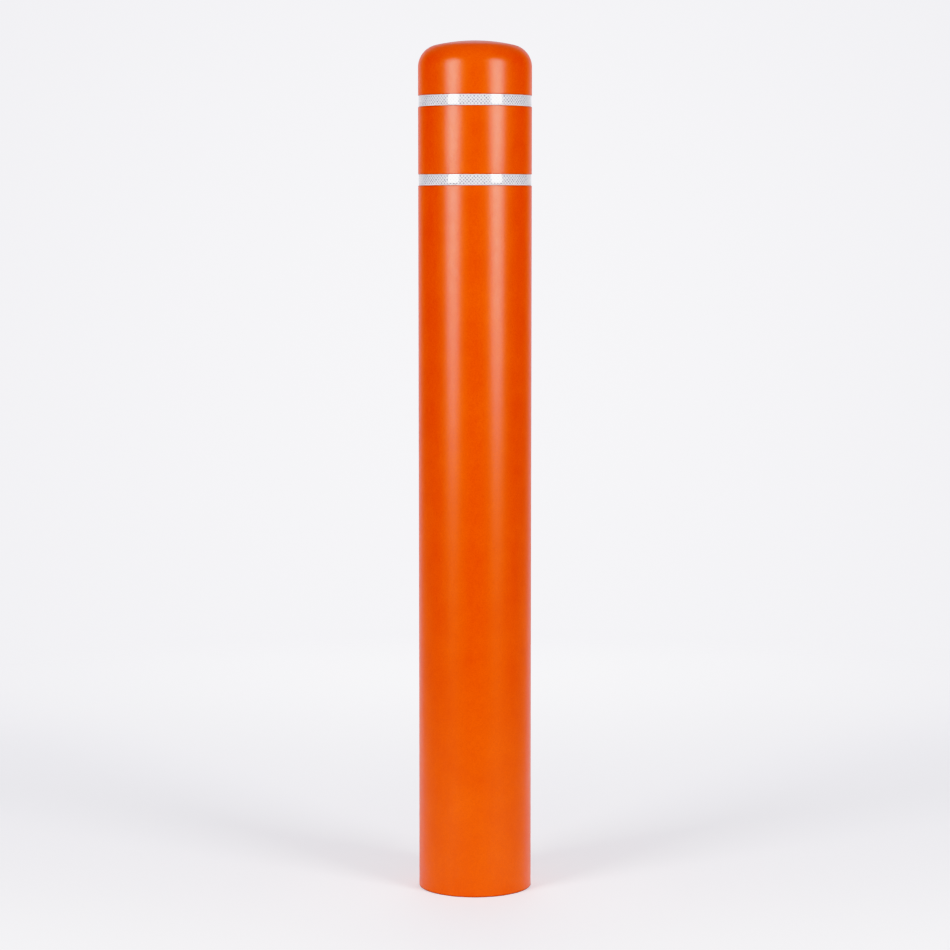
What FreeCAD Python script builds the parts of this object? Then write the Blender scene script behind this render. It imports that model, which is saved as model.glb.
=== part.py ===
import FreeCAD, Part
import math
import os

import Sketcher

# A sleeve-type delineator post. A domed polyethylene sleeve with two recessed reflective bands
# stands over a short steel spigot that is bolted to the road. Foam strips on the spigot centre
# the sleeve and take up the play, and the sleeve lifts straight off.
# Millimetres, +Z up, origin on the floor at the centre of the foot.

# Driving dimensions.
SIZES = {
    "pipe_diameter": 168.3,      # outside of nominal 6 inch steel pipe
    "pipe_wall": 7.1,
    "pipe_bevel": 2.0,           # lead-in round the top of the spigot
    "spigot_height": 406.4,      # floor to the top of the pipe
    "foam_thickness": 10.8,
    "foam_width": 25.4,
    "foam_length": 152.4,
    "foam_running_gap": 0.3,     # foam to the sleeve's bore
    "lower_foam_margin": 21.3,   # top of the weld to the foot of the lower strips
    "upper_foam_margin": 14.0,   # top of the upper strips to the top of the pipe
    "sleeve_wall": 6.35,
    "sleeve_height": 1524.0,
    "crown_radius": 315.0,
    "knuckle_radius": 40.0,
    "foot_bevel": 0.8,
    "groove_side_gap": 0.3,      # edge of the tape to the side of its groove
    "groove_depth": 1.5,
    "groove_shoulder": 1.0,      # radius on the outer edges of a groove
    "upper_band_drop": 107.2,    # top of the dome to the middle of the upper band
    "band_pitch": 138.9,
    "tape_width": 19.05,
    "tape_thickness": 0.35,
    "tape_lap": 13.0,            # length of tape that overlaps its own start
    "plate_thickness": 9.5,
    "plate_bevel": 1.0,
    "plate_running_gap": 2.25,   # plate edge to the sleeve's bore
    "weld_leg": 6.0,
    "anchor_hole": 14.3,
    "anchor_inset": 19.9,        # pipe's bore to the centre of an anchor hole
    "drain_hole": 25.4,
    "pad_relief": 2.35,          # how much wider in radius the pad's holes are
    "pad_thickness": 3.2,
}
# Sizes that follow from them, as formulas on the same sheet. The sleeve's bore and outside
# follow from the pipe, the foam and the wall, and the plate and the pad follow from the bore.
FOLLOWING = {
    "pipe_radius": "pipe_diameter / 2",
    "pipe_bore": "pipe_radius - pipe_wall",
    "foam_face": "pipe_radius + foam_thickness",
    "sleeve_bore": "foam_face + foam_running_gap",
    "sleeve_radius": "sleeve_bore + sleeve_wall",
    "groove_floor": "sleeve_radius - groove_depth",
    "groove_cut_reach": "sleeve_radius + groove_depth",
    "tape_face": "groove_floor + tape_thickness",
    "lap_face": "tape_face + tape_thickness",
    "lap_angle": "tape_lap / tape_face * 180 / pi",
    "upper_band_height": "sleeve_height - upper_band_drop",
    "lower_band_height": "upper_band_height - band_pitch",
    "plate_radius": "sleeve_bore - plate_running_gap",
    "plate_top": "pad_thickness + plate_thickness",
    "pipe_length": "spigot_height - plate_top",
    "weld_toe": "pipe_radius + weld_leg",
    "weld_top": "plate_top + weld_leg",
    "anchor_circle": "pipe_bore - anchor_inset",
    "anchor_radius": "anchor_hole / 2",
    "drain_radius": "drain_hole / 2",
    "pad_anchor_radius": "anchor_radius + pad_relief",
    "pad_drain_radius": "drain_radius + pad_relief",
    "foam_angle": "foam_width / pipe_radius * 180 / pi",
    "lower_foam_foot": "weld_top + lower_foam_margin",
    "upper_foam_foot": "spigot_height - upper_foam_margin - foam_length",
}
BANDS = ("upper", "lower")
for band in BANDS:
    FOLLOWING[f"{band}_tape_low"] = f"{band}_band_height - tape_width / 2"
    FOLLOWING[f"{band}_tape_high"] = f"{band}_band_height + tape_width / 2"
    FOLLOWING[f"{band}_groove_low"] = f"{band}_tape_low - groove_side_gap"
    FOLLOWING[f"{band}_groove_high"] = f"{band}_tape_high + groove_side_gap"

ANCHORS = 4
STRIPS = 4
QUARTER_TURN = 90.0
FULL_TURN = 360.0
ON_AXIS = 0       # stands for a size where a point lies on one of a sketch's own axes
MATCH = 1e-4      # how near an edge has to be to a size when it is looked up
CUT_MATCH = 0.01  # share by which a hole's measured volume may differ from a cylinder's

doc = FreeCAD.newDocument("delineator_post")
sheet = doc.addObject("Spreadsheet::Sheet", "Sizes")
cells = [(name, str(size)) for name, size in SIZES.items()]
cells += [(name, f"={formula}") for name, formula in FOLLOWING.items()]
for row, (name, content) in enumerate(cells, start=1):
    sheet.set(f"A{row}", name)
    sheet.set(f"B{row}", content)
    sheet.setAlias(f"B{row}", name)
doc.recompute()


def size_of(name):
    """A named size from the sheet, or 0 for a point on an axis."""
    return 0.0 if name == ON_AXIS else float(sheet.get(name))


def add_body(label):
    """An empty body whose label names its file."""
    body = doc.addObject("PartDesign::Body", label)
    body.Label = label
    return body


def add_sketch(body, name, plane, height=None):
    """A sketch on one of the body's origin planes, lifted to a height if one is named."""
    sketch = body.newObject("Sketcher::SketchObject", name)
    planes = [feature for feature in body.Origin.OriginFeatures if feature.Role == plane]
    sketch.AttachmentSupport = (planes[0], [""])
    sketch.MapMode = "FlatFace"
    if height is not None:
        sketch.setExpression("AttachmentOffset.Base.z", f"Sizes.{height}")
    doc.recompute()
    return sketch


def dimension(sketch, kind, *where, name):
    """Adds a dimension to a sketch and binds it to a named size."""
    index = sketch.addConstraint(Sketcher.Constraint(kind, *where, size_of(name)))
    sketch.setExpression(f"Constraints[{index}]", f"Sizes.{name}")


def fix_point(sketch, geometry, end, across, up):
    """Holds one end of a line, or the centre of a circle, at two named sizes."""
    root_point = (-1, 1)
    x_axis, y_axis = -1, -2
    if across == ON_AXIS:
        sketch.addConstraint(Sketcher.Constraint("PointOnObject", geometry, end, y_axis))
    else:
        dimension(sketch, "DistanceX", *root_point, geometry, end, name=across)
    if up == ON_AXIS:
        sketch.addConstraint(Sketcher.Constraint("PointOnObject", geometry, end, x_axis))
    else:
        dimension(sketch, "DistanceY", *root_point, geometry, end, name=up)


def draw_polygon(sketch, corners):
    """A closed outline of straight lines through corners that are pairs of named sizes."""
    points = [FreeCAD.Vector(size_of(across), size_of(up), 0) for across, up in corners]
    for start, finish in zip(points, points[1:] + points[:1]):
        sketch.addGeometry(Part.LineSegment(start, finish), False)
    count = len(corners)
    for index, (across, up) in enumerate(corners):
        following = (index + 1) % count
        sketch.addConstraint(Sketcher.Constraint("Coincident", index, 2, following, 1))
        fix_point(sketch, index, 1, across, up)
    doc.recompute()


def draw_circle(sketch, radius, across=ON_AXIS):
    """A circle whose centre lies on the sketch's horizontal axis."""
    centre = FreeCAD.Vector(size_of(across), 0, 0)
    circle = Part.Circle(centre, FreeCAD.Vector(0, 0, 1), size_of(radius))
    index = sketch.addGeometry(circle, False)
    fix_point(sketch, index, 3, across, ON_AXIS)
    dimension(sketch, "Radius", index, name=radius)
    doc.recompute()


def revolve(body, sketch, name, angle=None, kind="PartDesign::Revolution"):
    """Turns a sketch about its vertical axis, once round or by half an angle to either side."""
    feature = body.newObject(kind, name)
    feature.Profile = sketch
    feature.ReferenceAxis = (sketch, ["V_Axis"])
    feature.Angle = FULL_TURN
    if angle is not None:
        feature.Midplane = True
        feature.setExpression("Angle", f"Sizes.{angle}")
    doc.recompute()
    return feature


def pad(body, sketch, name, length):
    """Pushes a sketch up by a named length."""
    feature = body.newObject("PartDesign::Pad", name)
    feature.Profile = sketch
    feature.setExpression("Length", f"Sizes.{length}")
    doc.recompute()
    return feature


def edge_names(feature, radius, height):
    """The names of a feature's round edges of one radius, about the Z axis, at one height."""
    names = []
    for number, edge in enumerate(feature.Shape.Edges, start=1):
        if edge.Degenerated or not isinstance(edge.Curve, Part.Circle):
            continue
        centre = edge.Curve.Center
        right_size = abs(edge.Curve.Radius - size_of(radius)) < MATCH
        right_place = abs(centre.z - size_of(height)) < MATCH
        if right_size and right_place and math.hypot(centre.x, centre.y) < MATCH:
            names.append(f"Edge{number}")
    if not names:
        raise ValueError(f"{feature.Label} has no round edge of {radius} at {height}")
    return names


def dress(body, kind, name, edges, size_property, size):
    """A fillet or chamfer of a named size on edges of the body's tip."""
    base = body.Tip
    feature = body.newObject(kind, name)
    feature.Base = (base, edges)
    feature.setExpression(size_property, f"Sizes.{size}")
    doc.recompute()
    return feature


def pattern_round(body, original, count):
    """Repeats a cut evenly about the vertical axis."""
    pattern = body.newObject("PartDesign::PolarPattern", f"{original.Name}Pattern")
    pattern.Originals = [original]
    pattern.Axis = (original.Profile[0], ["N_Axis"])
    pattern.Angle = FULL_TURN
    pattern.Occurrences = count
    body.Tip = pattern
    doc.recompute()


def cut_round_holes(body, name, radius, circle, top, depth, count):
    """Round holes straight down from a height, one or a ring of them. Checks that they cut."""
    before = body.Shape.Volume
    sketch = add_sketch(body, f"{name}Sketch", "XY_Plane", top)
    draw_circle(sketch, radius, circle)
    pocket = body.newObject("PartDesign::Pocket", name)
    pocket.Profile = sketch
    pocket.setExpression("Length", f"Sizes.{depth}")
    doc.recompute()
    if count > 1:
        pattern_round(body, pocket, count)
    cut = before - body.Shape.Volume
    expected = count * math.pi * size_of(radius) ** 2 * size_of(depth)
    if abs(cut - expected) > CUT_MATCH * expected:
        raise ValueError(f"{name} in {body.Label} cut {cut:.1f} mm3 and not {expected:.1f}")


def draw_dome_section(sketch):
    """Half the section of the sleeve: a straight wall, a knuckle and a crown, outside and inside.

    The knuckle is tangent to the wall and to the crown, and the inner arcs share its centres."""
    radius, height = size_of("sleeve_radius"), size_of("sleeve_height")
    bore, wall = size_of("sleeve_bore"), size_of("sleeve_wall")
    crown, knuckle = size_of("crown_radius"), size_of("knuckle_radius")
    crown_centre = FreeCAD.Vector(0, height - crown, 0)
    knuckle_x = radius - knuckle
    rise = math.sqrt((crown - knuckle) ** 2 - knuckle_x**2)
    knuckle_centre = crown_centre + FreeCAD.Vector(knuckle_x, rise, 0)
    lean = math.atan2(rise, knuckle_x)
    upright = math.pi / 2

    def line(start, finish):
        ends = [FreeCAD.Vector(*start, 0), FreeCAD.Vector(*finish, 0)]
        return sketch.addGeometry(Part.LineSegment(*ends), False)

    def arc(centre, arc_radius, start, finish):
        circle = Part.Circle(centre, FreeCAD.Vector(0, 0, 1), arc_radius)
        return sketch.addGeometry(Part.ArcOfCircle(circle, start, finish), False)

    def join(kind, *where):
        sketch.addConstraint(Sketcher.Constraint(kind, *where))

    outer_wall = line((radius, 0), (radius, knuckle_centre.y))
    outer_knuckle = arc(knuckle_centre, knuckle, 0, lean)
    outer_crown = arc(crown_centre, crown, lean, upright)
    middle = line((0, height), (0, height - wall))
    inner_crown = arc(crown_centre, crown - wall, lean, upright)
    inner_knuckle = arc(knuckle_centre, knuckle - wall, 0, lean)
    inner_wall = line((bore, knuckle_centre.y), (bore, 0))
    foot = line((bore, 0), (radius, 0))

    join("Tangent", outer_wall, 2, outer_knuckle, 1)
    join("Tangent", outer_knuckle, 2, outer_crown, 1)
    join("Coincident", outer_crown, 2, middle, 1)
    join("Coincident", middle, 2, inner_crown, 2)
    join("Tangent", inner_crown, 1, inner_knuckle, 2)
    join("Tangent", inner_knuckle, 1, inner_wall, 1)
    join("Coincident", inner_wall, 2, foot, 1)
    join("Coincident", foot, 2, outer_wall, 1)
    join("Coincident", outer_crown, 3, inner_crown, 3)
    join("Coincident", outer_knuckle, 3, inner_knuckle, 3)
    join("Vertical", outer_wall)
    join("Vertical", inner_wall)
    y_axis = -2
    join("PointOnObject", outer_crown, 3, y_axis)
    join("PointOnObject", inner_crown, 2, y_axis)
    fix_point(sketch, outer_crown, 2, ON_AXIS, "sleeve_height")
    fix_point(sketch, outer_wall, 1, "sleeve_radius", ON_AXIS)
    fix_point(sketch, inner_wall, 2, "sleeve_bore", ON_AXIS)
    dimension(sketch, "Radius", outer_crown, name="crown_radius")
    dimension(sketch, "Radius", outer_knuckle, name="knuckle_radius")
    doc.recompute()


def cut_groove(body, band):
    """A shallow groove round the outside, with rounded shoulders. Checks that it cuts."""
    before = body.Shape.Volume
    low, high = f"{band}_groove_low", f"{band}_groove_high"
    sketch = add_sketch(body, f"{band}GrooveSection", "XZ_Plane")
    floor, outside = "groove_floor", "groove_cut_reach"
    draw_polygon(sketch, [(floor, low), (outside, low), (outside, high), (floor, high)])
    groove = revolve(body, sketch, f"{band}Groove", kind="PartDesign::Groove")
    if body.Shape.Volume >= before:
        raise ValueError(f"the {band} groove cut nothing")
    edges = edge_names(groove, "sleeve_radius", low) + edge_names(groove, "sleeve_radius", high)
    dress(body, "PartDesign::Fillet", f"{band}Shoulders", edges, "Radius", "groove_shoulder")


def make_sleeve():
    """The domed sleeve, open at its foot, with a groove for each reflective band."""
    body = add_body("sleeve")
    sketch = add_sketch(body, "SleeveSection", "XZ_Plane")
    draw_dome_section(sketch)
    revolve(body, sketch, "SleeveShell")
    for band in BANDS:
        cut_groove(body, band)
    shell = body.Tip
    rim = edge_names(shell, "sleeve_radius", ON_AXIS) + edge_names(shell, "sleeve_bore", ON_AXIS)
    dress(body, "PartDesign::Chamfer", "FootBevel", rim, "Size", "foot_bevel")
    return body


def make_band(band):
    """One turn of reflective tape on the groove's floor. Its end laps over its start at the back."""
    body = add_body(f"{band}_reflective_band")
    low, high = f"{band}_tape_low", f"{band}_tape_high"
    floor, first, second = "groove_floor", "tape_face", "lap_face"
    turn = add_sketch(body, f"{band}TapeSection", "XZ_Plane")
    draw_polygon(turn, [(floor, low), (first, low), (first, high), (floor, high)])
    revolve(body, turn, f"{band}TapeTurn")
    lap = add_sketch(body, f"{band}LapSection", "XZ_Plane")
    draw_polygon(lap, [(first, low), (second, low), (second, high), (first, high)])
    revolve(body, lap, f"{band}TapeLap", angle="lap_angle")
    to_the_back = FreeCAD.Rotation(FreeCAD.Vector(0, 0, 1), QUARTER_TURN)
    body.Placement = FreeCAD.Placement(FreeCAD.Vector(0, 0, 0), to_the_back)
    return body


def make_floor_pad():
    """A rubber pad under the plate, with wide holes for the anchors and a drain."""
    body = add_body("floor_pad")
    outline = add_sketch(body, "PadOutline", "XY_Plane")
    draw_circle(outline, "plate_radius")
    pad(body, outline, "PadSlab", "pad_thickness")
    through = {"top": "pad_thickness", "depth": "pad_thickness"}
    ring = {"circle": "anchor_circle", "count": ANCHORS}
    cut_round_holes(body, "PadAnchorHole", "pad_anchor_radius", **ring, **through)
    cut_round_holes(body, "PadDrain", "pad_drain_radius", circle=ON_AXIS, count=1, **through)
    return body


def make_base_plate():
    """The round steel plate, with anchor holes inside the pipe's bore and a drain in the middle."""
    body = add_body("base_plate")
    outline = add_sketch(body, "PlateOutline", "XY_Plane", "pad_thickness")
    draw_circle(outline, "plate_radius")
    slab = pad(body, outline, "PlateSlab", "plate_thickness")
    lower_rim = edge_names(slab, "plate_radius", "pad_thickness")
    upper_rim = edge_names(slab, "plate_radius", "plate_top")
    dress(body, "PartDesign::Chamfer", "PlateBevel", lower_rim + upper_rim, "Size", "plate_bevel")
    through = {"top": "plate_top", "depth": "plate_thickness"}
    ring = {"circle": "anchor_circle", "count": ANCHORS}
    cut_round_holes(body, "AnchorHole", "anchor_radius", **ring, **through)
    cut_round_holes(body, "Drain", "drain_radius", circle=ON_AXIS, count=1, **through)
    return body


def make_spigot_pipe():
    """The upright pipe that the sleeve stands over, with a bevelled lead-in at its top."""
    body = add_body("spigot_pipe")
    outline = add_sketch(body, "PipeOutline", "XY_Plane", "plate_top")
    draw_circle(outline, "pipe_radius")
    draw_circle(outline, "pipe_bore")
    tube = pad(body, outline, "PipeWall", "pipe_length")
    lip = edge_names(tube, "pipe_radius", "spigot_height")
    dress(body, "PartDesign::Chamfer", "LeadIn", lip, "Size", "pipe_bevel")
    return body


def make_base_weld():
    """The fillet weld that joins the pipe's foot to the plate."""
    body = add_body("base_weld")
    section = add_sketch(body, "WeldSection", "XZ_Plane")
    root, toe = "pipe_radius", "weld_toe"
    draw_polygon(section, [(root, "plate_top"), (toe, "plate_top"), (root, "weld_top")])
    revolve(body, section, "WeldBead")
    return body


def make_foam_strip(label, foot, azimuth):
    """A self-adhesive foam strip, stuck upright on the pipe."""
    body = add_body(label)
    section = add_sketch(body, "StripSection", "XZ_Plane")
    back, face, top = "pipe_radius", "foam_face", "foam_length"
    draw_polygon(section, [(back, ON_AXIS), (face, ON_AXIS), (face, top), (back, top)])
    revolve(body, section, "Strip", angle="foam_angle")
    turn = FreeCAD.Rotation(FreeCAD.Vector(0, 0, 1), azimuth)
    body.Placement = FreeCAD.Placement(FreeCAD.Vector(0, 0, 0), turn)
    body.setExpression(".Placement.Base.z", f"Sizes.{foot}")
    doc.recompute()
    return body


def make_foam_strips():
    """A lower and an upper ring of upright strips, the upper ones over the gaps of the lower."""
    step = FULL_TURN / STRIPS
    strips = []
    for number in range(STRIPS):
        azimuth = number * step
        strips.append(make_foam_strip(f"lower_foam_strip_{number + 1}", "lower_foam_foot", azimuth))
        azimuth += step / 2
        strips.append(make_foam_strip(f"upper_foam_strip_{number + 1}", "upper_foam_foot", azimuth))
    return strips


def write_parts(bodies):
    """Checks every object and shape, then writes one STEP file for each body."""
    doc.recompute()
    for item in doc.Objects:
        if {"Invalid", "Error"} & set(item.State):
            raise RuntimeError(f"{item.Label} is {item.State}")
        if item.isDerivedFrom("Sketcher::SketchObject") and not item.FullyConstrained:
            raise RuntimeError(f"{item.Label} is not fully constrained")
    for body in bodies:
        shape = body.Shape
        if shape.isNull() or not shape.isValid() or len(shape.Solids) != 1:
            raise RuntimeError(f"{body.Label} has no single valid solid")
    os.makedirs("parts", exist_ok=True)
    for body in bodies:
        body.Shape.exportStep(f"parts/{body.Label}.step")
        print(f"{body.Label}: {body.Shape.Volume / 1000:.1f} cm3")


pieces = [
    make_floor_pad(),
    make_base_plate(),
    make_spigot_pipe(),
    make_base_weld(),
    *make_foam_strips(),
    make_sleeve(),
    *[make_band(band) for band in BANDS],
]
write_parts(pieces)
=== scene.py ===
# %% [markdown]
# # A delineator post: an orange sleeve over a bolt-down steel spigot
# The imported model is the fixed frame: it holds every real size and the one joint, by which the
# sleeve lifts off. Everything below adds looks around it and never moves it, so the first step
# is to load it.

# %% Load the frame
import math

import bmesh
import bpy
from mathutils import Matrix, Vector


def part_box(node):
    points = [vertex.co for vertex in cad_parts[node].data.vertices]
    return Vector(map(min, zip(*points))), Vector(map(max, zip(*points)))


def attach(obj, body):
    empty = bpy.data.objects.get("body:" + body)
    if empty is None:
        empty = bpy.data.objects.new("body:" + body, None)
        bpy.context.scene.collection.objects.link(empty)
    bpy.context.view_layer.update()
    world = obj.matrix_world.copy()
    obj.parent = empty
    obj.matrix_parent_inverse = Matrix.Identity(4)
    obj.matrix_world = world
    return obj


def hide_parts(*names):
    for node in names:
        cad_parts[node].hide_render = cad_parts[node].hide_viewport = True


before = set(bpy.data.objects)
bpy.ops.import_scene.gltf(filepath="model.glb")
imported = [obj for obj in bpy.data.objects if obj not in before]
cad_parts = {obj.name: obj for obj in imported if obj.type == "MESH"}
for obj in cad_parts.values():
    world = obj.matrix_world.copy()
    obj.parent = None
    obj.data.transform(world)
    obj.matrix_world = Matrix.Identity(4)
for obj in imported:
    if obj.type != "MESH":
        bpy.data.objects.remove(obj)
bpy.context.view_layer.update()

# %% [markdown]
# ## Sizes
# The frame gives the places that matter: how wide and tall the sleeve is, and between which
# heights each reflective band lies. The radii that round the dome and the depth of the grooves
# can't be read from a box, so they are named here once, as the part's own drawing has them.

# %% Sizes in metres
MM = 0.001
TURN = 2 * math.pi
sleeve_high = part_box("sleeve")[1]
SLEEVE_RADIUS = round(sleeve_high.x, 4)
SLEEVE_TOP = sleeve_high.z
SLEEVE_WALL = 6.35 * MM
CROWN_RADIUS = 315 * MM
KNUCKLE_RADIUS = 40 * MM
GROOVE_DEPTH = 1.5 * MM
GROOVE_SIDE_GAP = 0.3 * MM
SHOULDER = 1.0 * MM
FOOT_ROUND = 0.8 * MM
TAPE_THICKNESS = 0.35 * MM
ROUND_STEPS = 192  # facets round the post, so many that the outline stays smooth
bands = {name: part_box(name) for name in ("upper_reflective_band", "lower_reflective_band")}
print("sleeve", SLEEVE_RADIUS, "x", SLEEVE_TOP, "bands at", [round(b[0].z, 4) for b in bands.values()])

# %% [markdown]
# ## The camera
# A long lens from five metres away flattens the perspective, as in a catalogue picture: the
# post is hardly narrower at its foot than at its top. The camera stands at 1.24 m, a little
# below the top of the post, and looks down by five and a half degrees. The same framing could
# come from lens shift, but a tilt keeps the other views simple.

# %% Set the camera
CAMERA_DISTANCE = 5.0065
CAMERA_HEIGHT = 1.2398
CAMERA_TILT = math.radians(5.588)
LENS = 105.91       # its focal length in millimetres
FILM_WIDTH = 36.0   # in millimetres
VIEW_DEPTH = 60.0
camera_data = bpy.data.cameras.new("studio_camera")
camera_data.lens = LENS
camera_data.sensor_width = FILM_WIDTH
camera_data.clip_end = VIEW_DEPTH
camera = bpy.data.objects.new("studio_camera", camera_data)
camera.location = (0, -CAMERA_DISTANCE, CAMERA_HEIGHT)
camera.rotation_euler = (math.pi / 2 - CAMERA_TILT, 0, 0)
bpy.context.collection.objects.link(camera)
bpy.context.scene.camera = camera
print("a", LENS, "mm lens,", CAMERA_DISTANCE, "m in front of the post")

# %% [markdown]
# ## Small helpers for nodes
# Procedural finishes are trees of nodes. Writing each socket by hand is slow to read, so two
# helpers do it: one adds a node and fills its sockets, the other does arithmetic. A socket gets
# a link when it is handed another node's output, and a plain setting otherwise.


# %% Helpers for nodes
def add(tree, kind, inputs=None, **settings):
    """A node of one kind with its sockets and settings filled in."""
    node = tree.nodes.new(kind)
    for name, value in settings.items():
        setattr(node, name, value)
    for socket, value in (inputs or {}).items():
        if isinstance(value, bpy.types.NodeSocket):
            tree.links.new(value, node.inputs[socket])
        else:
            node.inputs[socket].default_value = value
    return node


def calc(tree, operation, *values):
    """One step of arithmetic, as the output of a Math node."""
    return add(tree, "ShaderNodeMath", dict(enumerate(values)), operation=operation).outputs[0]


def blend_colours(tree, share, first, second):
    """A colour between two others."""
    node = add(tree, "ShaderNodeMix", {0: share, 6: first, 7: second}, data_type="RGBA")
    return node.outputs[2]


def spread(tree, value, low, high, out_low=0.0, out_high=1.0):
    """A value stretched from one range to another and held inside it."""
    sockets = {"Value": value, "From Min": low, "From Max": high, "To Min": out_low, "To Max": out_high}
    return add(tree, "ShaderNodeMapRange", sockets).outputs["Result"]


def start_material(name):
    """A material with a Principled shader, and its node for Object coordinates."""
    material = bpy.data.materials.new(name)
    material.use_nodes = True
    tree = material.node_tree
    tree.nodes.clear()
    shader = add(tree, "ShaderNodeBsdfPrincipled")
    add(tree, "ShaderNodeOutputMaterial", {"Surface": shader.outputs[0]})
    place = add(tree, "ShaderNodeTexCoord").outputs["Object"]
    return material, tree, shader, place


def noise(tree, place, scale, detail=2.0, roughness=0.5):
    """Soft random values with so many lumps to the metre."""
    sockets = {"Vector": place, "Scale": scale, "Detail": detail, "Roughness": roughness}
    return add(tree, "ShaderNodeTexNoise", sockets).outputs[0]


def bump(tree, height, depth, under=None):
    """Bends the shading by a height map that is so many metres deep."""
    sockets = {"Height": height, "Distance": depth, "Strength": 1.0}
    if under is not None:
        sockets["Normal"] = under
    return add(tree, "ShaderNodeBump", sockets).outputs[0]


def stretch(tree, place, scale):
    """Coordinates scaled along each axis, for a pattern that is longer one way."""
    return add(tree, "ShaderNodeMapping", {"Vector": place, "Scale": scale}).outputs[0]


# %% [markdown]
# ## The studio: floor and background
# The post stands on a white floor that runs into a white background with no horizon. A real
# sweep would stand between the object and a camera that looks from behind, so here the floor is
# a disc that fades out, and the world behind it has nearly the floor's brightness. It reaches
# further back than forwards, as a sweep does, and lies a hair below the foot.

# %% Lay the floor
FLOOR_RADIUS = 2.6
FLOOR_CENTRE = (0, 0.6, -0.3 * MM)
FLOOR_STEPS = 96
bm = bmesh.new()
bmesh.ops.create_circle(bm, cap_ends=True, segments=FLOOR_STEPS, radius=FLOOR_RADIUS)
bmesh.ops.translate(bm, verts=bm.verts, vec=FLOOR_CENTRE)
floor_mesh = bpy.data.meshes.new("studio_floor")
bm.to_mesh(floor_mesh)
bm.free()
floor = bpy.data.objects.new("studio_floor", floor_mesh)
bpy.context.collection.objects.link(floor)
print("a floor of", FLOOR_RADIUS, "m radius,", FLOOR_CENTRE[1], "m behind the post")

# %% [markdown]
# The floor glows a little, which stands for the lamps that light a real sweep and keeps the
# shadows faint. It glows more where less of the softboxes' light arrives, far from the post, and
# less at both sides. Two things about it are only for odd views: its underside is clear, so that
# the post can be looked at from below, and a window under the pad lets light in to the pad.

# %% Finish: the white sweep
GLOW_REACH = (0.4, 2.6)      # metres from the post
GLOW = (0.15, 0.49)          # near it and far from it
DIMMING_REACH = (0.3, 1.2)   # metres sideways from the post
DIMMING = 0.10
FADE_REACH = (1.3, 2.5)      # metres from the floor's centre
PAD_WINDOW = 85 * MM
material, tree, shader, place = start_material("white_sweep")
shader.inputs["Base Color"].default_value = (0.920, 0.920, 0.950, 1)
shader.inputs["Roughness"].default_value = 0.7
shader.inputs["Emission Color"].default_value = (0.98, 0.97, 1.05, 1)
from_post = add(tree, "ShaderNodeVectorMath", {0: place}, operation="LENGTH").outputs["Value"]
sideways = calc(tree, "ABSOLUTE", add(tree, "ShaderNodeSeparateXYZ", {0: place}).outputs[0])
dimming = spread(tree, sideways, *DIMMING_REACH, 0.0, DIMMING)
glow = calc(tree, "SUBTRACT", spread(tree, from_post, *GLOW_REACH, *GLOW), dimming)
tree.links.new(glow, shader.inputs["Emission Strength"])
from_middle = add(tree, "ShaderNodeVectorMath", {0: place, 1: FLOOR_CENTRE}, operation="DISTANCE")
fade = spread(tree, from_middle.outputs["Value"], *FADE_REACH, 1.0, 0.0)
underside = add(tree, "ShaderNodeNewGeometry").outputs["Backfacing"]
from_above = calc(tree, "SUBTRACT", 1.0, underside)
beside_pad = spread(tree, from_post, PAD_WINDOW, PAD_WINDOW + MM)
opaque = calc(tree, "MULTIPLY", calc(tree, "MULTIPLY", fade, from_above), beside_pad)
tree.links.new(opaque, shader.inputs["Alpha"])
floor_mesh.materials.append(material)
print(material.name, "has", len(tree.nodes), "nodes")

# %% [markdown]
# ## The studio: what the post reflects
# Satin plastic shows its room. A bright wall straight behind the post gives the pale rims at both
# sides, a grey ceiling lights the dome, and a dark room in front and at the sides keeps the rest a
# deep orange. Below the horizon the world goes on where the floor has faded, white behind the
# post and dark in front. Each edge is given along an axis of the direction in which a ray leaves,
# from -1 to 1.

# %% Choose the room
BACK_WALL = 0.85    # behind the post, level with it
DARK_ROOM = 0.05    # in front of it and at its sides
CEILING = 0.36      # overhead
WHITE = 0.90        # the plain background, as the camera sees it
WALL_EDGE = (0.55, 0.95)        # along Y: from the dark room to the back wall
CEILING_EDGE = (0.40, 0.80)     # along Z
SWEEP_EDGE = (-0.5, 0.2)        # along Y, below the horizon: from dark to white
HORIZON = (-0.22, -0.10)        # along Z
print("back wall", BACK_WALL, "ceiling", CEILING, "dark room", DARK_ROOM)

# %% [markdown]
# Rays straight from the camera see none of this room, but a plain white, with the soft pool of
# light that a lamp leaves on a backdrop. The Light Path node tells the two kinds of ray apart.

# %% Light the world
POOL = 0.18         # how much brighter the background is behind the post
POOL_REACH = math.radians(17)
POOL_MIDDLE = (0, 1, -0.05)
world = bpy.data.worlds.new("white_studio")
bpy.context.scene.world = world
world.use_nodes = True
tree = world.node_tree
tree.nodes.clear()
direction = add(tree, "ShaderNodeTexCoord").outputs["Generated"]
axes = add(tree, "ShaderNodeSeparateXYZ", {0: direction}).outputs
level = spread(tree, axes[1], *WALL_EDGE, DARK_ROOM, BACK_WALL)
upwards = spread(tree, axes[2], *CEILING_EDGE)
above = calc(tree, "MULTIPLY_ADD", upwards, calc(tree, "SUBTRACT", CEILING, level), level)
sweep = spread(tree, axes[1], *SWEEP_EDGE, DARK_ROOM, WHITE)
below = spread(tree, axes[2], *HORIZON, 1.0, 0.0)
room = calc(tree, "MULTIPLY_ADD", below, calc(tree, "SUBTRACT", sweep, above), above)
off_middle = add(tree, "ShaderNodeVectorMath", {0: direction, 1: POOL_MIDDLE}, operation="DISTANCE")
pool = spread(tree, off_middle.outputs["Value"], 0.0, POOL_REACH, 1.0, 0.0)
soft_pool = add(tree, "ShaderNodeMapRange", {"Value": pool}, interpolation_type="SMOOTHSTEP")
plain = calc(tree, "MULTIPLY_ADD", soft_pool.outputs["Result"], POOL, WHITE)
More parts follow.
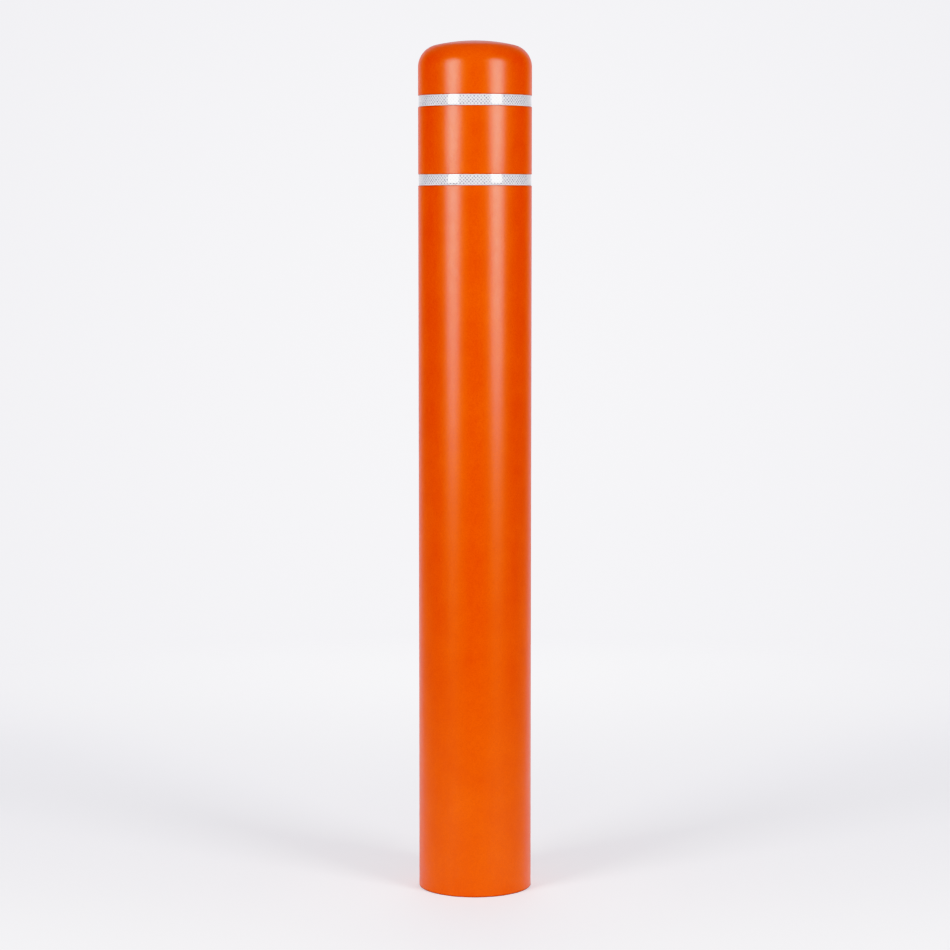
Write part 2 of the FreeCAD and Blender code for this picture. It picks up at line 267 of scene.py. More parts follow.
to_camera = add(tree, "ShaderNodeLightPath").outputs["Is Camera Ray"]
seen = calc(tree, "MULTIPLY_ADD", to_camera, calc(tree, "SUBTRACT", plain, room), room)
sky = add(tree, "ShaderNodeBackground", {"Color": (0.975, 0.965, 1.05, 1), "Strength": seen})
add(tree, "ShaderNodeOutputWorld", {"Surface": sky.outputs[0]})
print(world.name, "has", len(tree.nodes), "nodes")

# %% [markdown]
# ## The studio: two strip softboxes
# The two pale stripes down the sleeve are the reflections of two tall softboxes, one at each side
# of the camera. On the glossy tape the same lights show with crisp edges. Area lights do this
# directly: their width sets the width of a stripe, and their lower edge sets where it ends.

# %% Hang the softboxes
LIGHT_AZIMUTH = math.radians(44.3)
LIGHT_DISTANCE = 3.0
LIGHT_WIDTH = 1.18
LIGHT_BOTTOM, LIGHT_TOP = 0.70, 3.05
LIGHT_RADIANCE = 7.8
light_height = (LIGHT_BOTTOM + LIGHT_TOP) / 2
forwards = -LIGHT_DISTANCE * math.cos(LIGHT_AZIMUTH)
for name, side in (("left_softbox", -1), ("right_softbox", 1)):
    light_data = bpy.data.lights.new(name, "AREA")
    light_data.shape = "RECTANGLE"
    light_data.size = LIGHT_WIDTH
    light_data.size_y = LIGHT_TOP - LIGHT_BOTTOM
    light_data.energy = LIGHT_RADIANCE * math.pi * light_data.size * light_data.size_y
    light = bpy.data.objects.new(name, light_data)
    across = side * LIGHT_DISTANCE * math.sin(LIGHT_AZIMUTH)
    light.location = (across, forwards, light_height)
    light.rotation_euler = (math.pi / 2, 0, side * LIGHT_AZIMUTH)
    bpy.context.collection.objects.link(light)
    print(name, "gives", round(light_data.energy, 1), "W")

# %% [markdown]
# The back of the post gets no light from them. A weak wide light behind it fills that side. It is
# left out of reflections, or it would widen the pale rims that are seen from the front.

# %% Hang the fill behind the post
FILL_SIZE = 2.4
FILL_HEIGHT = 1.6
FILL_RADIANCE = 1.2
fill_data = bpy.data.lights.new("back_fill", "AREA")
fill_data.shape = "SQUARE"
fill_data.size = FILL_SIZE
fill_data.energy = FILL_RADIANCE * math.pi * FILL_SIZE**2
fill = bpy.data.objects.new("back_fill", fill_data)
fill.location = (0, LIGHT_DISTANCE, FILL_HEIGHT)
fill.rotation_euler = (-math.pi / 2, 0, 0)
fill.visible_glossy = False
fill.visible_camera = False
bpy.context.collection.objects.link(fill)
print(fill.name, "gives", round(fill_data.energy, 1), "W")

# %% [markdown]
# ## Colour management
# A film-like transform would turn this saturated orange pale where it is brightly lit, and the
# Standard one clips its red hard. A product picture lies between: a contrast curve is put before
# the Standard transform. It takes a thin veil off the blacks, lifts the middle tones, and rolls
# off only the brightest part, each colour channel by itself.

# %% Draw the contrast curve
TONE_CURVE = ((0.0, 0.0), (0.018, 0.0), (0.12, 0.11), (0.30, 0.36), (0.60, 0.70), (0.80, 0.83),
              (0.95, 0.895), (1.3, 0.955), (2.5, 1.0))
view = bpy.context.scene.view_settings
view.view_transform = "Standard"
view.look = "None"
view.use_curve_mapping = True
tones = view.curve_mapping
tones.clip_max_x, tones.clip_max_y = TONE_CURVE[-1]
combined = tones.curves[3]
combined.points[0].location = TONE_CURVE[0]
combined.points[1].location = TONE_CURVE[-1]
for point in TONE_CURVE[1:-1]:
    combined.points.new(*point)
for point in combined.points:
    point.handle_type = "AUTO_CLAMPED"
tones.update()
print("tone curve with", len(combined.points), "points")

# %% [markdown]
# ## Helpers for round pieces
# Nearly everything here is round, so it could be a primitive cylinder with a Bevel modifier. A
# lathe gives more control: one outline is drawn in the XZ plane and spun about the Z axis. The
# outline itself is drawn with operators too. A vertex is extruded along straight stretches and
# spun about a centre where the outline is an arc.


# %% Helpers for round pieces
SAME_POINT = 0.002 * MM  # points nearer than this are merged


def line_to(bm, start, x, z):
    """Carries an outline on in a straight line, and gives its new end."""
    end = bmesh.ops.extrude_vert_indiv(bm, verts=[start])["verts"][0]
    end.co = (x, 0, z)
    return end


def arc_about(bm, start, centre, angle, steps):
    """Carries an outline on round a centre, and gives its new end."""
    spun = bmesh.ops.spin(bm, geom=[start], cent=centre, axis=(0, 1, 0), angle=angle, steps=steps)
    return [item for item in spun["geom_last"] if isinstance(item, bmesh.types.BMVert)][0]


def round_corners(bm, corners, radius, segments):
    """Turns corners of an outline into arcs."""
    bmesh.ops.bevel(
        bm, geom=corners, offset=radius, offset_type="OFFSET", segments=segments,
        profile=0.5, affect="VERTICES", material=-1,
    )


def lathe(bm, steps=ROUND_STEPS):
    """Spins the outline once round the Z axis into a closed skin that faces outwards."""
    outline = bm.verts[:] + bm.edges[:]
    bmesh.ops.spin(
        bm, geom=outline, cent=(0, 0, 0), axis=(0, 0, 1), angle=TURN, steps=steps, use_merge=True
    )
    bmesh.ops.remove_doubles(bm, verts=bm.verts, dist=SAME_POINT)
    bmesh.ops.recalc_face_normals(bm, faces=bm.faces)


def finish_piece(bm, name, material, body, slot, *nodes, sharp=40):
    """Makes the bmesh an object that rides on a body and stands for CAD nodes."""
    mesh = bpy.data.meshes.new(name)
    bm.to_mesh(mesh)
    bm.free()
    mesh.materials.append(material)
    mesh.shade_smooth()
    mesh.set_sharp_from_angle(angle=math.radians(sharp))
    piece = bpy.data.objects.new(name, mesh)
    bpy.context.collection.objects.link(piece)
    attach(piece, body)
    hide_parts(*nodes)
    print(name, len(mesh.vertices), "vertices,", len(mesh.polygons), "faces")
    return piece


# %% [markdown]
# ## Painted shade and wear on the sleeve
# Shade is painted into the sleeve's colour where it falls: in the corners of both grooves, in a
# faint line beside them, and as a contact shadow round the foot. It could be painted by hand, but
# each of these places is known from its height and its distance from the axis, so the sleeve's own
# sizes draw it.


# %% Where shade is painted on the sleeve
def sleeve_painted_shade(tree, place, height):
    """How much painted shade darkens the sleeve, as a share of the shade's colour."""
    # Painted contact shadow: a dark line round the foot, about 2 mm high.
    foot_contact_shade = spread(tree, height, 1.2 * MM, 2.3 * MM, 1.0, 0.0)
    painted_shade = calc(tree, "MULTIPLY", foot_contact_shade, 0.95)
    flat = add(tree, "ShaderNodeVectorMath", {0: place, 1: (1, 1, 0)}, operation="MULTIPLY")
    length = add(tree, "ShaderNodeVectorMath", {0: flat.outputs[0]}, operation="LENGTH")
    radius = length.outputs["Value"]
    sunk = spread(tree, radius, SLEEVE_RADIUS - 0.7 * MM, SLEEVE_RADIUS - 0.15 * MM, 1.0, 0.0)
    outside = spread(tree, radius, SLEEVE_RADIUS - 2.5 * MM, SLEEVE_RADIUS - 2.0 * MM)
    for low, high in bands.values():
        from_band = calc(tree, "ABSOLUTE", calc(tree, "SUBTRACT", height, (low.z + high.z) / 2))
        half_groove = (high.z - low.z) / 2 + GROOVE_SIDE_GAP + SHOULDER
        beside = spread(tree, from_band, half_groove, half_groove + 0.4 * MM, 1.0, 0.0)
        # Painted shade in the rounded corners of each groove.
        corner_shade = calc(tree, "MULTIPLY", calc(tree, "MULTIPLY", sunk, outside), beside)
        painted_shade = calc(tree, "MAXIMUM", painted_shade, calc(tree, "MULTIPLY", corner_shade, 0.85))
        # A faint painted shade line just outside each groove.
        edge_shade = spread(tree, from_band, half_groove, half_groove + 1.8 * MM, 0.35, 0.0)
        painted_shade = calc(tree, "MAXIMUM", painted_shade, calc(tree, "MULTIPLY", edge_shade, outside))
    return painted_shade


# %% [markdown]
# Two more marks need a pattern. A few dust specks were moulded in: a Voronoi pattern has one
# point to a cell, and only the cells with a high random value show theirs. The foot is scuffed
# where it stands on the road, by fine scratches that thin out upwards.


# %% Specks and scuffs
def moulded_specks(tree, place):
    """Small dots, few and far between."""
    cells = add(tree, "ShaderNodeTexVoronoi", {"Vector": place, "Scale": 26.0, "Randomness": 1.0})
    near_speck = spread(tree, cells.outputs["Distance"], 0.010, 0.022, 1.0, 0.0)
    chance = add(tree, "ShaderNodeSeparateColor", {0: cells.outputs["Color"]}).outputs[0]
    return calc(tree, "MULTIPLY", near_speck, spread(tree, chance, 0.86, 0.87))


def foot_scuffs(tree, place, height):
    """Fine scratches round the foot."""
    low_down = spread(tree, height, 0.0, 0.09, 1.0, 0.0)
    scratches = noise(tree, stretch(tree, place, (0.5, 0.5, 3)), 240, detail=5, roughness=0.65)
    return calc(tree, "MULTIPLY", spread(tree, scratches, 0.60, 0.72), low_down)


# %% [markdown]
# ## Orange polyethylene
# The sleeve is moulded from coloured polyethylene. It is satin, with the faint orange peel that
# a mould leaves and a trace of mottling in the pigment. Base colour and roughness alone would look
# like paint. Two bumps of different size break up the edges of the reflections, as the real skin
# does.


# %% Finish: orange polyethylene
def orange_polyethylene():
    material, tree, shader, place = start_material("orange_polyethylene")
    height = add(tree, "ShaderNodeSeparateXYZ", {0: place}).outputs[2]
    pigment = spread(tree, noise(tree, place, 12, detail=6, roughness=0.6), 0.3, 0.7)
    colour = blend_colours(tree, pigment, (0.800, 0.087, 0.0, 1), (0.900, 0.109, 0.0, 1))
    fleck = spread(tree, noise(tree, place, 420, detail=3, roughness=0.7), 0.30, 0.70, 0.0, 0.62)
    colour = blend_colours(tree, fleck, colour, (0.60, 0.058, 0.0, 1))
    flow = noise(tree, stretch(tree, place, (1, 1, 0.25)), 60, detail=3)
    streak = spread(tree, flow, 0.52, 0.8, 0, 0.35)
    colour = blend_colours(tree, streak, colour, (0.69, 0.068, 0.0, 1))
    speck = calc(tree, "MULTIPLY", moulded_specks(tree, place), 0.6)
    colour = blend_colours(tree, speck, colour, (0.16, 0.035, 0.01, 1))
    scuff = foot_scuffs(tree, place, height)
    colour = blend_colours(tree, calc(tree, "MULTIPLY", scuff, 0.22), colour, (0.95, 0.30, 0.12, 1))
    # Painted shade: the grooves' corners, a faint line beside each groove and the foot are darkened
    # towards deep brown, as their shade and a contact shadow.
    painted_shade = sleeve_painted_shade(tree, place, height)
    colour = blend_colours(tree, painted_shade, colour, (0.20, 0.035, 0.008, 1))
    tree.links.new(colour, shader.inputs["Base Color"])
    polish = spread(tree, noise(tree, place, 90, detail=3), 0.3, 0.7, 0.34, 0.38)
    worn = calc(tree, "MULTIPLY_ADD", scuff, 0.2, polish)
    tree.links.new(worn, shader.inputs["Roughness"])
    shader.inputs["IOR"].default_value = 1.54
    peel = bump(tree, noise(tree, place, 230, detail=2), 0.062 * MM)
    grain = bump(tree, noise(tree, place, 900, detail=2), 0.030 * MM, peel)
    tree.links.new(grain, shader.inputs["Normal"])
    print(material.name, "has", len(tree.nodes), "nodes")
    return material


sleeve_finish = orange_polyethylene()

# %% [markdown]
# ## The sleeve
# The sleeve is one moulding: a straight tube, a tight knuckle and a shallow crown, with two
# shallow grooves for the tape and an open foot. Its dome is the torispherical end of a pressure
# vessel: two arcs that meet tangent. The CAD node has the right shape, but its facets are wide
# enough to show in a satin reflection, so it is spun again more finely from the same sizes.

# %% Draw the outside of the sleeve
knuckle_x = SLEEVE_RADIUS - KNUCKLE_RADIUS
crown_centre = Vector((0, 0, SLEEVE_TOP - CROWN_RADIUS))
knuckle_rise = math.sqrt((CROWN_RADIUS - KNUCKLE_RADIUS) ** 2 - knuckle_x**2)
knuckle_centre = crown_centre + Vector((knuckle_x, 0, knuckle_rise))
lean = math.atan2(knuckle_rise, knuckle_x)
crown_angle = math.pi / 2 - lean
CROWN_STEPS, KNUCKLE_STEPS = 12, 24

bm = bmesh.new()
end = bm.verts.new((0, 0, SLEEVE_TOP))
end = arc_about(bm, end, crown_centre, crown_angle, CROWN_STEPS)
end = arc_about(bm, end, knuckle_centre, lean, KNUCKLE_STEPS)
shoulders = []
groove_floor = SLEEVE_RADIUS - GROOVE_DEPTH
for tape_low, tape_high in bands.values():
    top, bottom = tape_high.z + GROOVE_SIDE_GAP, tape_low.z - GROOVE_SIDE_GAP
    shoulders.append(line_to(bm, end, SLEEVE_RADIUS, top))
    end = line_to(bm, shoulders[-1], groove_floor, top)
    end = line_to(bm, end, groove_floor, bottom)
    shoulders.append(line_to(bm, end, SLEEVE_RADIUS, bottom))
    end = shoulders[-1]
outer_foot = line_to(bm, end, SLEEVE_RADIUS, 0)
print("the knuckle turns", round(math.degrees(lean), 1), "degrees")

# %% [markdown]
# The inside follows the outside at the wall's thickness: the same two centres, with both radii
# less the wall. Going back up the bore and over the dome closes the outline on the axis.

# %% Draw the inside and spin the sleeve
bore = SLEEVE_RADIUS - SLEEVE_WALL
inner_foot = line_to(bm, outer_foot, bore, 0)
end = line_to(bm, inner_foot, bore, knuckle_centre.z)
end = arc_about(bm, end, knuckle_centre, -lean, KNUCKLE_STEPS)
end = arc_about(bm, end, crown_centre, -crown_angle, CROWN_STEPS)
round_corners(bm, shoulders, SHOULDER, 6)
round_corners(bm, [outer_foot, inner_foot], FOOT_ROUND, 4)
WALL_STEP = 60 * MM  # no facet of the wall is much longer
for edge in bm.edges[:]:
    cuts = int(edge.calc_length() / WALL_STEP)
    if cuts:
        bmesh.ops.subdivide_edges(bm, edges=[edge], cuts=cuts)
lathe(bm)
finish_piece(bm, "post_sleeve", sleeve_finish, "sleeve", "orange_polyethylene", "sleeve")

# %% [markdown]
# ## The lap of the tape
# The tape goes once round its groove, and its end laps over its start at the back of the post.
# Both the finish and the shape need the place of this lap, so it is settled first.

# %% Place the lap
TAPE_LAP = 13 * MM
BACK = math.pi / 2  # the azimuth of +Y
print("the lap takes up", round(math.degrees(TAPE_LAP / groove_floor), 1), "degrees")

# %% [markdown]
# ## Prismatic tape
# Retroreflective tape is a clear film over tiny prisms, sealed to its backing along a lattice of
# diagonal lines. Each diamond between the lines shows a darker middle, and both edges of the tape
# are plain. An image would need a UV map. Two cosines make the same lattice: the sum of one round
# the post and one up it is zero along diagonal lines and largest in the middle of each diamond.


# %% The lattice of the tape
CELLS_ROUND = 103.0
CELL_HEIGHT = 6.2 * MM
CELL_DRIFT = 3.0        # how far noise shifts the two waves
PLAIN_EDGE = 0.9 * MM


def tape_lattice(tree, place, azimuth, height):
    """0 along the sealed lines and 1 in the middle of each diamond."""
    drift = calc(tree, "SUBTRACT", noise(tree, place, 170, detail=2), 0.5)
    turns = calc(tree, "MULTIPLY", azimuth, CELLS_ROUND)
    across = calc(tree, "COSINE", calc(tree, "MULTIPLY_ADD", drift, CELL_DRIFT, turns))
    climb = calc(tree, "MULTIPLY", height, TURN / CELL_HEIGHT)
    upward = calc(tree, "COSINE", calc(tree, "MULTIPLY_ADD", drift, -CELL_DRIFT, climb))
    mean = calc(tree, "MULTIPLY", calc(tree, "ADD", across, upward), 0.5)
    return calc(tree, "ABSOLUTE", mean)


# %% [markdown]
# The film over the prisms is smooth, so the softboxes show in it with crisp edges: a clear coat
# does this. The prisms also glow softly where the tape turns away, which sheen imitates. A thin
# line of painted shade runs along both ends of the lap.


# %% Finish: prismatic tape
def prismatic_tape(name, middle, half_width):
    material, tree, shader, place = start_material(name)
    axes = add(tree, "ShaderNodeSeparateXYZ", {0: place}).outputs
    azimuth = calc(tree, "ARCTAN2", axes[1], axes[0])
    height = calc(tree, "SUBTRACT", axes[2], middle)
    cell = tape_lattice(tree, place, azimuth, height)
    dark_middle = spread(tree, cell, 0.38, 0.76)
    seal = spread(tree, cell, 0.06, 0.14, 1.0, 0.0)
    from_middle = calc(tree, "ABSOLUTE", height)
    inside = spread(tree, from_middle, half_width - PLAIN_EDGE, half_width - 1.2 * PLAIN_EDGE)
    uneven = spread(tree, noise(tree, place, 160, detail=3), 0.35, 0.65, 0.5, 1.0)
    share = calc(tree, "MULTIPLY", calc(tree, "MULTIPLY", dark_middle, inside), uneven)
    colour = blend_colours(tree, share, (0.72, 0.71, 0.75, 1), (0.20, 0.20, 0.27, 1))
    lines = calc(tree, "MULTIPLY", seal, inside)
    colour = blend_colours(tree, calc(tree, "MULTIPLY", lines, 0.7), colour, (0.93, 0.93, 0.94, 1))
    # Painted shade: a thin dark line along both ends of the lap, where its top layer steps down.
    from_back = calc(tree, "ABSOLUTE", calc(tree, "SUBTRACT", azimuth, BACK))
    along_tape = calc(tree, "MULTIPLY", from_back, groove_floor)
    from_lap_end = calc(tree, "ABSOLUTE", calc(tree, "SUBTRACT", along_tape, TAPE_LAP / 2))
    lap_edge_shade = spread(tree, from_lap_end, 0.3 * MM, 1.0 * MM, 0.8, 0.0)
    colour = blend_colours(tree, lap_edge_shade, colour, (0.16, 0.15, 0.14, 1))
    tree.links.new(colour, shader.inputs["Base Color"])
    shader.inputs["Metallic"].default_value = 0.04
    shader.inputs["Sheen Weight"].default_value = 1.0
    shader.inputs["Sheen Roughness"].default_value = 0.36
    shader.inputs["Roughness"].default_value = 0.12
    shader.inputs["IOR"].default_value = 1.5
    shader.inputs["Coat Weight"].default_value = 1.0
    shader.inputs["Coat Roughness"].default_value = 0.04
    shader.inputs["Coat IOR"].default_value = 1.55
    emboss = bump(tree, calc(tree, "MULTIPLY", lines, -1.0), 0.02 * MM)
    tree.links.new(emboss, shader.inputs["Normal"])
    print(name, "has", len(tree.nodes), "nodes")
    return material


# %% [markdown]
# ## The two bands
# Each band is one strip of tape, wound once round the floor of its groove, and its end laps over
# its start at the back. The turn is a lathe piece with a thin flat section. The lap is a short
# stretch of a second layer: its section is filled and spun through the angle that 13 mm of tape
# takes up, which leaves a closed solid. The foam strips further down use the same helpers.


# %% Helpers for sections and blocks
def upright_section(bm, inner, outer, low, high, radius, segments):
    """A rectangle in the XZ plane whose outer corners are rounded."""
    first = bm.verts.new((inner, 0, low))
    corners = [line_to(bm, first, outer, low)]
    corners.append(line_to(bm, corners[0], outer, high))
    last = line_to(bm, corners[1], inner, high)
    bm.edges.new((last, first))
    round_corners(bm, corners, radius, segments)


def sweep_section(bm, middle, angle, steps):
    """Fills the section and spins it into a closed block about one azimuth."""
    face = bmesh.ops.contextual_create(bm, geom=bm.edges[:])["faces"]
    start = Matrix.Rotation(middle - angle / 2, 3, "Z")
    bmesh.ops.rotate(bm, verts=bm.verts, cent=(0, 0, 0), matrix=start)
    bmesh.ops.spin(bm, geom=face, cent=(0, 0, 0), axis=(0, 0, 1), angle=angle, steps=steps)
    bmesh.ops.recalc_face_normals(bm, faces=bm.faces)


def join_into(bm, other):
    """Moves the other bmesh's faces into this one."""
    spare = bpy.data.meshes.new("spare")
    other.to_mesh(spare)
    other.free()
    bm.from_mesh(spare)
    bpy.data.meshes.remove(spare)


# %% [markdown]
# With these helpers both bands are wound alike. The turn is spun from the groove's floor outwards,
# and the lap lies on it, at the back.

# %% Wind the tape into the grooves
TAPE_CORNER = 0.1 * MM
CORNER_STEPS = 2
LAP_STEPS = 8
first_layer = groove_floor + TAPE_THICKNESS
second_layer = first_layer + TAPE_THICKNESS
for node, (low, high) in bands.items():
    bm = bmesh.new()
    upright_section(bm, groove_floor, first_layer, low.z, high.z, TAPE_CORNER, CORNER_STEPS)
    lathe(bm)
    lap = bmesh.new()
    upright_section(lap, first_layer, second_layer, low.z, high.z, TAPE_CORNER, CORNER_STEPS)
    sweep_section(lap, BACK, TAPE_LAP / first_layer, LAP_STEPS)
    join_into(bm, lap)
    tape = prismatic_tape(node + "_film", (low.z + high.z) / 2, (high.z - low.z) / 2)
    finish_piece(bm, node.replace("reflective", "tape"), tape, "sleeve", "reflective_tape", node)

# %% [markdown]
# ## Galvanised steel
# Hot-dip galvanising leaves zinc crystals, the spangle: patches a centimetre or so across that
# reflect at slightly different strengths, with soft white bloom where rain has sat. A Voronoi
# pattern gives each crystal its own shade, and noise bends the crystals' edges. The plate and the
# pipe were dipped together, so they share one finish, made from Object coordinates.


# %% Finish: galvanised steel
def galvanised_steel():
    material, tree, shader, place = start_material("galvanised_steel")
    wander = add(tree, "ShaderNodeTexNoise", {"Vector": place, "Scale": 35.0, "Detail": 3.0})
    sockets = {0: wander.outputs["Color"], 1: (0.02, 0.02, 0.02)}
    push = add(tree, "ShaderNodeVectorMath", sockets, operation="MULTIPLY").outputs[0]
    bent = add(tree, "ShaderNodeVectorMath", {0: place, 1: push}, operation="ADD").outputs[0]
    crystals = add(tree, "ShaderNodeTexVoronoi", {"Vector": bent, "Scale": 75.0}).outputs["Color"]
    shade = add(tree, "ShaderNodeSeparateColor", {0: crystals}).outputs
    colour = blend_colours(tree, shade[0], (0.40, 0.42, 0.44, 1), (0.60, 0.62, 0.64, 1))
    bloom = spread(tree, noise(tree, place, 22, detail=5, roughness=0.6), 0.56, 0.74)
    colour = blend_colours(tree, calc(tree, "MULTIPLY", bloom, 0.55), colour, (0.72, 0.73, 0.73, 1))
    tree.links.new(colour, shader.inputs["Base Color"])
    shader.inputs["Metallic"].default_value = 0.9
    polish = spread(tree, shade[1], 0.0, 1.0, 0.34, 0.52)
    dull = calc(tree, "MULTIPLY_ADD", bloom, 0.2, polish)
    tree.links.new(dull, shader.inputs["Roughness"])
    skin = bump(tree, noise(tree, place, 180, detail=4), 0.03 * MM)
    tree.links.new(skin, shader.inputs["Normal"])
    print(material.name, "has", len(tree.nodes), "nodes")
    return material


steel = galvanised_steel()

# %% [markdown]
# ## The steel under the sleeve
# The round base plate keeps its CAD shape, because its holes are already right: it only takes
# the new finish. The pipe is spun again, so that the highlights on it are smooth. Its outline
# runs up the outside, over the bevel that leads the sleeve on, and back down the bore.

# %% Finish the plate and spin the pipe
PIPE_WALL = 7.1 * MM
PIPE_BEVEL = 2.0 * MM
BEVEL_EASE = 0.4 * MM


def dress_node(node, material):
    """Gives a CAD node that stays on show its finish."""
    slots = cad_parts[node].material_slots
    for material_slot in slots:
        material_slot.material = material
    print(node, "keeps its shape and has", len(slots), "material slot")


dress_node("base_plate", steel)
pipe_low, pipe_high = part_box("spigot_pipe")
pipe_radius = pipe_high.x
bm = bmesh.new()
foot = bm.verts.new((pipe_radius, 0, pipe_low.z))
outer_lip = line_to(bm, foot, pipe_radius, pipe_high.z - PIPE_BEVEL)
top_lip = line_to(bm, outer_lip, pipe_radius - PIPE_BEVEL, pipe_high.z)
inner_lip = line_to(bm, top_lip, pipe_radius - PIPE_WALL, pipe_high.z)
end = line_to(bm, inner_lip, pipe_radius - PIPE_WALL, pipe_low.z)
bm.edges.new((end, foot))
round_corners(bm, [outer_lip, top_lip, inner_lip], BEVEL_EASE, 3)
lathe(bm)
finish_piece(bm, "galvanised_pipe", steel, "spigot", "galvanised_steel", "spigot_pipe")

# %% [markdown]
# ## The weld
# A fillet weld is laid as a row of overlapping puddles, so its face is a string of ripples. It
# could be hundreds of small discs, but a lathe bead whose points are pushed in and out along a
# wave gives one clean skin. Each ripple trails behind the torch, so the wave slants up the face,
# and a slower wave stands for the welder's hand.

# %% Lay the weld bead
RIPPLES = 118
BEAD_BULGE = 0.7 * MM
BEAD_STEPS = 8
weld_low, weld_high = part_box("base_weld")
bead_height = weld_high.z - weld_low.z
toe = weld_high.x - BEAD_BULGE

bm = bmesh.new()
root = bm.verts.new((pipe_radius, 0, weld_low.z))
end = line_to(bm, root, toe, weld_low.z)
for step in range(1, BEAD_STEPS + 1):
    up = step / BEAD_STEPS
    bulge = BEAD_BULGE * math.sin(math.pi * up)
    reach = (toe - pipe_radius) * (1 - up)
    rise = up * (bead_height - BEAD_BULGE)
    end = line_to(bm, end, pipe_radius + reach + bulge, weld_low.z + rise + bulge)
bm.edges.new((end, root))
lathe(bm, steps=RIPPLES * 6)
print("the bead is", round(bead_height / MM, 1), "mm high, with", len(bm.verts), "vertices")

# %% [markdown]
# Now the points move. They move less where the bead is thin and along the plate, so that it stays
# stuck to the pipe and to the plate.

# %% Ripple the bead
RIPPLE_DEPTH = 0.32 * MM
RIPPLE_TRAIL = 2.2     # how far a ripple slants, in radians of its wave
HAND_WAVE = 0.22 * MM
HAND_TURNS = (5, 13)   # two waves round the bead that seldom meet
for vert in bm.verts:
    azimuth = math.atan2(vert.co.y, vert.co.x)
    from_axis = Vector((vert.co.x, vert.co.y, 0))
    up = (vert.co.z - weld_low.z) / bead_height
    thickness = (from_axis.length - pipe_radius) / bead_height
    share = min(1, thickness) * (1 - max(0, 0.5 - up) * 0.4)
    if up <= 0.01:
        share *= 0.4
    ripple = abs(math.sin(azimuth * RIPPLES / 2 + RIPPLE_TRAIL * up * up)) - 1
    sway = math.sin(azimuth * HAND_TURNS[0] + 1.3) * math.sin(azimuth * HAND_TURNS[1])
    out = (ripple * RIPPLE_DEPTH + sway * HAND_WAVE) * share
    lift = 0.5 * out if up > 0.1 else 0
    vert.co += from_axis.normalized() * out + Vector((0, 0, lift))
bmesh.ops.recalc_face_normals(bm, faces=bm.faces)
print(RIPPLES, "ripples round the bead")

# %% [markdown]
# ## Weld metal
# The bead was galvanised with the rest, but zinc takes to weld metal differently: it stays a
# darker grey with paler stains and a brown tint, and has no spangle. So it gets noise for its
# stains instead of the steel's crystals.


# %% Finish: weld metal
def weld_metal():
    material, tree, shader, place = start_material("weld_metal")
    stain = spread(tree, noise(tree, place, 120, detail=5, roughness=0.6), 0.35, 0.7)
    colour = blend_colours(tree, stain, (0.30, 0.30, 0.31, 1), (0.50, 0.49, 0.47, 1))
    tint = spread(tree, noise(tree, place, 30, detail=2), 0.5, 0.75, 0, 0.5)
    colour = blend_colours(tree, tint, colour, (0.36, 0.29, 0.22, 1))
    tree.links.new(colour, shader.inputs["Base Color"])
    shader.inputs["Metallic"].default_value = 0.9
    tree.links.new(spread(tree, stain, 0.0, 1.0, 0.55, 0.36), shader.inputs["Roughness"])
    grain = bump(tree, noise(tree, place, 700, detail=4), 0.05 * MM)
    tree.links.new(grain, shader.inputs["Normal"])
    print(material.name, "has", len(tree.nodes), "nodes")
    return material


finish_piece(bm, "weld_bead", weld_metal(), "spigot", "weld_metal", "base_weld", sharp=60)

# %% [markdown]
# ## The rubber pad
# A sheet of black rubber lies under the plate and evens out the concrete. Its holes are in the
# CAD shape, so it keeps it. Rubber sheet is never quite black: it greys where it has been
# handled, and its skin has a fine leathery grain from the press that cured it.


# %% Finish: pad rubber
def pad_rubber():
    material, tree, shader, place = start_material("pad_rubber")
    dust = spread(tree, noise(tree, place, 45, detail=5, roughness=0.6), 0.4, 0.75)
    colour = blend_colours(tree, dust, (0.040, 0.040, 0.042, 1), (0.095, 0.092, 0.088, 1))
    tree.links.new(colour, shader.inputs["Base Color"])
    tree.links.new(spread(tree, dust, 0.0, 1.0, 0.55, 0.8), shader.inputs["Roughness"])
    skin = add(tree, "ShaderNodeTexVoronoi", {"Vector": place, "Scale": 520.0}, feature="SMOOTH_F1")
    pebbles = bump(tree, skin.outputs["Distance"], 0.12 * MM)
    grain = bump(tree, noise(tree, place, 900, detail=2), 0.03 * MM, pebbles)
    tree.links.new(grain, shader.inputs["Normal"])
    print(material.name, "has", len(tree.nodes), "nodes")
    return material


dress_node("floor_pad", pad_rubber())

# %% [markdown]
# ## Closed-cell foam
# The strips that centre the sleeve are cut from charcoal polyethylene foam. The knife opens the
# cells on the cut faces into tiny pits with pale walls. A fine Voronoi pattern is such a cell
# structure, so one texture gives both the shade and the pits.


# %% Finish: closed-cell foam
def closed_cell_foam():
    material, tree, shader, place = start_material("closed_cell_foam")
    fine = add(tree, "ShaderNodeTexVoronoi", {"Vector": place, "Scale": 1400.0}).outputs["Distance"]
    coarse = add(tree, "ShaderNodeTexVoronoi", {"Vector": place, "Scale": 620.0}).outputs["Distance"]
    walls = spread(tree, calc(tree, "ADD", fine, coarse), 0.5, 1.3)
    colour = blend_colours(tree, walls, (0.030, 0.031, 0.034, 1), (0.105, 0.107, 0.112, 1))
    patch = spread(tree, noise(tree, place, 40, detail=4), 0.35, 0.7, 0, 0.5)
    colour = blend_colours(tree, patch, colour, (0.085, 0.086, 0.090, 1))
    tree.links.new(colour, shader.inputs["Base Color"])
    shader.inputs["Roughness"].default_value = 0.9
    shader.inputs["Sheen Weight"].default_value = 0.25
    shader.inputs["Sheen Roughness"].default_value = 0.6
    pits = bump(tree, walls, 0.25 * MM)
    ripples = bump(tree, noise(tree, place, 150, detail=3), 0.15 * MM, pits)
    tree.links.new(ripples, shader.inputs["Normal"])
    print(material.name, "has", len(tree.nodes), "nodes")
    return material


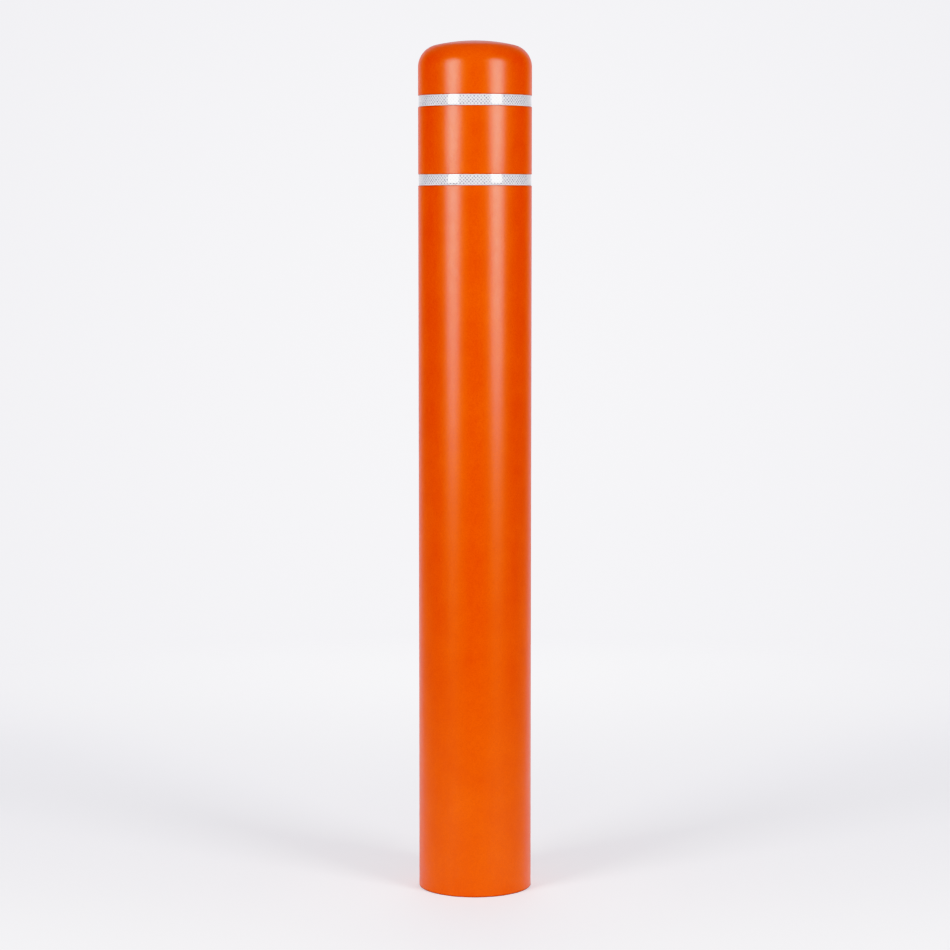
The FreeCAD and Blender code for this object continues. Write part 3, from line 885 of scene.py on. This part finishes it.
foam = closed_cell_foam()

# %% [markdown]
# ## The foam strips
# The knife drags soft foam along, so each strip's outer edges are rounded. It bends round the pipe
# it is stuck to. It could be a box with a Simple Deform modifier, but a spin gives the bend
# exactly: the section is drawn upright, its outer corners are rounded, and it is spun through the
# strip's own angle. A bevel then rounds the edges of both long sides. The box of each CAD strip
# says how high it stands.

# %% Cut and stick the strips
STRIPS = 4
FOAM_WIDTH = 25.4 * MM
FOAM_FACE = 94.95 * MM  # its outer face, from the axis
END_ROUND = 2.2 * MM    # at its top and bottom
SIDE_ROUND = 1.6 * MM   # along its two long sides
END_STEPS, SIDE_STEPS = 5, 4
LENGTH_CUTS, FACE_STEPS = 24, 12


def foam_strip(name, node, azimuth):
    low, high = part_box(node)
    bm = bmesh.new()
    upright_section(bm, pipe_radius, FOAM_FACE, low.z, high.z, END_ROUND, END_STEPS)
    long_edges = [edge for edge in bm.edges if edge.calc_length() > FOAM_WIDTH]
    bmesh.ops.subdivide_edges(bm, edges=long_edges, cuts=LENGTH_CUTS)
    sweep_section(bm, azimuth, FOAM_WIDTH / pipe_radius, FACE_STEPS)
    ends = [face for face in bm.faces if len(face.verts) > 4]
    rims = [edge for face in ends for edge in face.edges]
    stuck = pipe_radius + SIDE_ROUND  # edges nearer to the pipe stay sharp
    outer = [edge for edge in rims if max(v.co.xy.length for v in edge.verts) > stuck]
    bmesh.ops.bevel(
        bm, geom=outer, offset=SIDE_ROUND, offset_type="OFFSET", segments=SIDE_STEPS,
        profile=0.5, affect="EDGES", material=-1, clamp_overlap=True,
    )
    bmesh.ops.recalc_face_normals(bm, faces=bm.faces)
    piece = finish_piece(bm, name, foam, "spigot", "closed_cell_foam", node, sharp=60)


for number in range(STRIPS):
    azimuth = number * TURN / STRIPS
    lower, upper = (f"{ring}_foam_strip_{number + 1}" for ring in ("lower", "upper"))
    foam_strip(f"{lower}_cut", lower, azimuth)
    foam_strip(f"{upper}_cut", upper, azimuth + TURN / STRIPS / 2)
